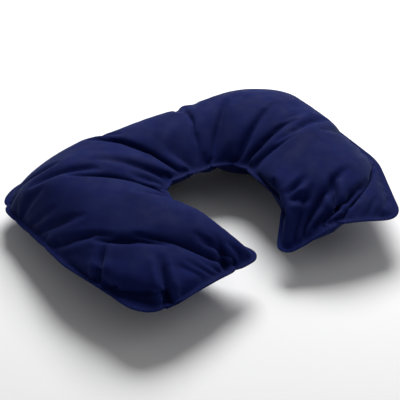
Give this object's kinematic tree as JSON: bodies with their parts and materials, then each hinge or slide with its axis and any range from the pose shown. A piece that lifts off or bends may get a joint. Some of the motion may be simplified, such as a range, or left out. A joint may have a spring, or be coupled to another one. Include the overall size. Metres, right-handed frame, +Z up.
{
  "type": "inflatable u-shaped pillow",
  "caption": "U-shaped inflatable neck pillow of two flocked vinyl sheets welded round one outline, with a push-in air valve, tethered plug and one-way flap at the back.",
  "frame": {"origin": "middle of the pillow's footprint, on the surface that it lies on", "axes": "+Z up; +Y towards the closed back of the U; the arms' open ends face -Y; +X across, towards the right arm as seen from the open ends"},
  "size_m": [0.4052, 0.3067, 0.098],
  "materials": {
    "flock": "short matte flock with a faint sheen on vinyl film, dark navy blue",
    "valve_vinyl": "soft moulded vinyl, satin, dark blue"
  },
  "bodies": {
    "pillow": {"top_panel": "flock", "bottom_panel": "flock", "valve_base": "valve_vinyl", "valve_diaphragm": "valve_vinyl"},
    "stem": {"valve_stem": "valve_vinyl"},
    "closure": {"plug": "valve_vinyl", "plug_strap": "valve_vinyl"},
    "flap": {"check_flap": "valve_vinyl"}
  },
  "joints": [
    {"name": "valve_recess", "type": "slide", "parent": "pillow", "child": "stem", "axis": [0, 0.9063, -0.4226], "range_m": [0, 0.01], "deforming": ["valve_diaphragm"]},
    {"name": "plug_swing", "type": "hinge", "parent": "stem", "child": "closure", "pos_m": [0, 0.14614, 0.03379], "axis": [1, 0, 0], "range_deg": [0, 110]},
    {"name": "flap_swing", "type": "hinge", "parent": "stem", "child": "flap", "pos_m": [0, 0.13408, 0.03786], "axis": [-1, 0, 0], "range_deg": [0, 45], "stiffness_Nm_per_rad": 0.0002}
  ]
}
